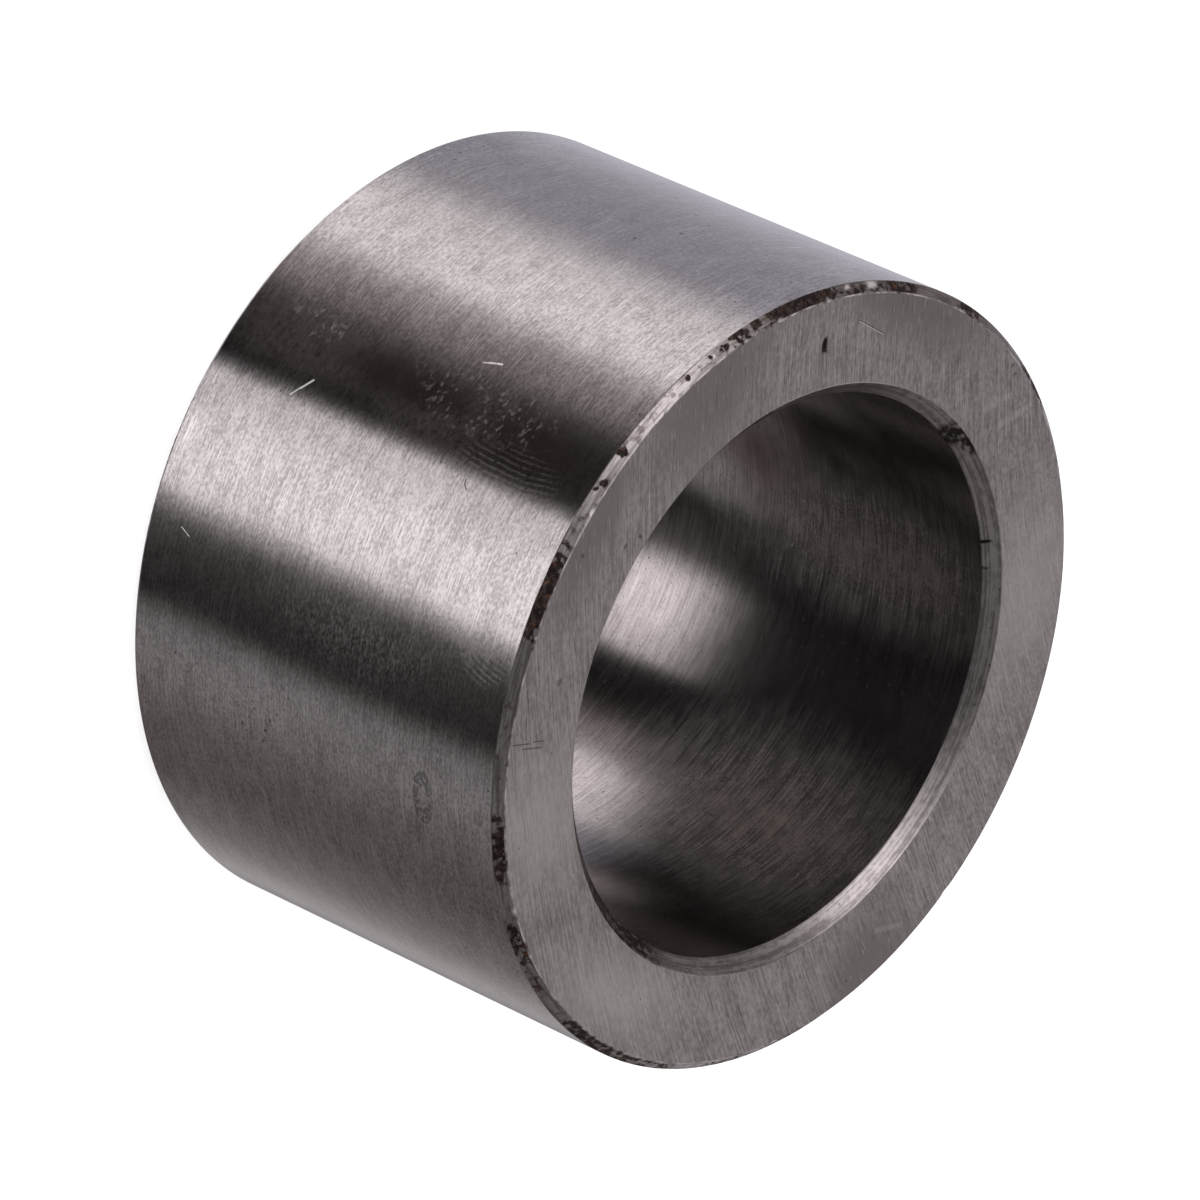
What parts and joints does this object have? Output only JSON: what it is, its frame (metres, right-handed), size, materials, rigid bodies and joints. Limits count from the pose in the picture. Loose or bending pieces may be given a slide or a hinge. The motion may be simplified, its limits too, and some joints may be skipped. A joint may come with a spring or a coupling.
{
  "type": "spacer sleeve",
  "caption": "Plain cylindrical steel spacer sleeve with a smooth through bore, flat ground end faces and chamfered edges.",
  "frame": {"origin": "centre of the lower end face, where the sleeve stands", "axes": "+Z along the bore axis, from the lower end face to the upper one; the sleeve is round, so +X and +Y have no mark on the solid, and -Y is the side that faces the camera"},
  "size_m": [0.056, 0.056, 0.035],
  "materials": {
    "ground_steel": "cylindrically ground outside, honed bore, surface-ground ends, bare metal with light scale and rust in the chamfers"
  },
  "bodies": {
    "root": {"sleeve": "ground_steel"}
  },
  "joints": []
}
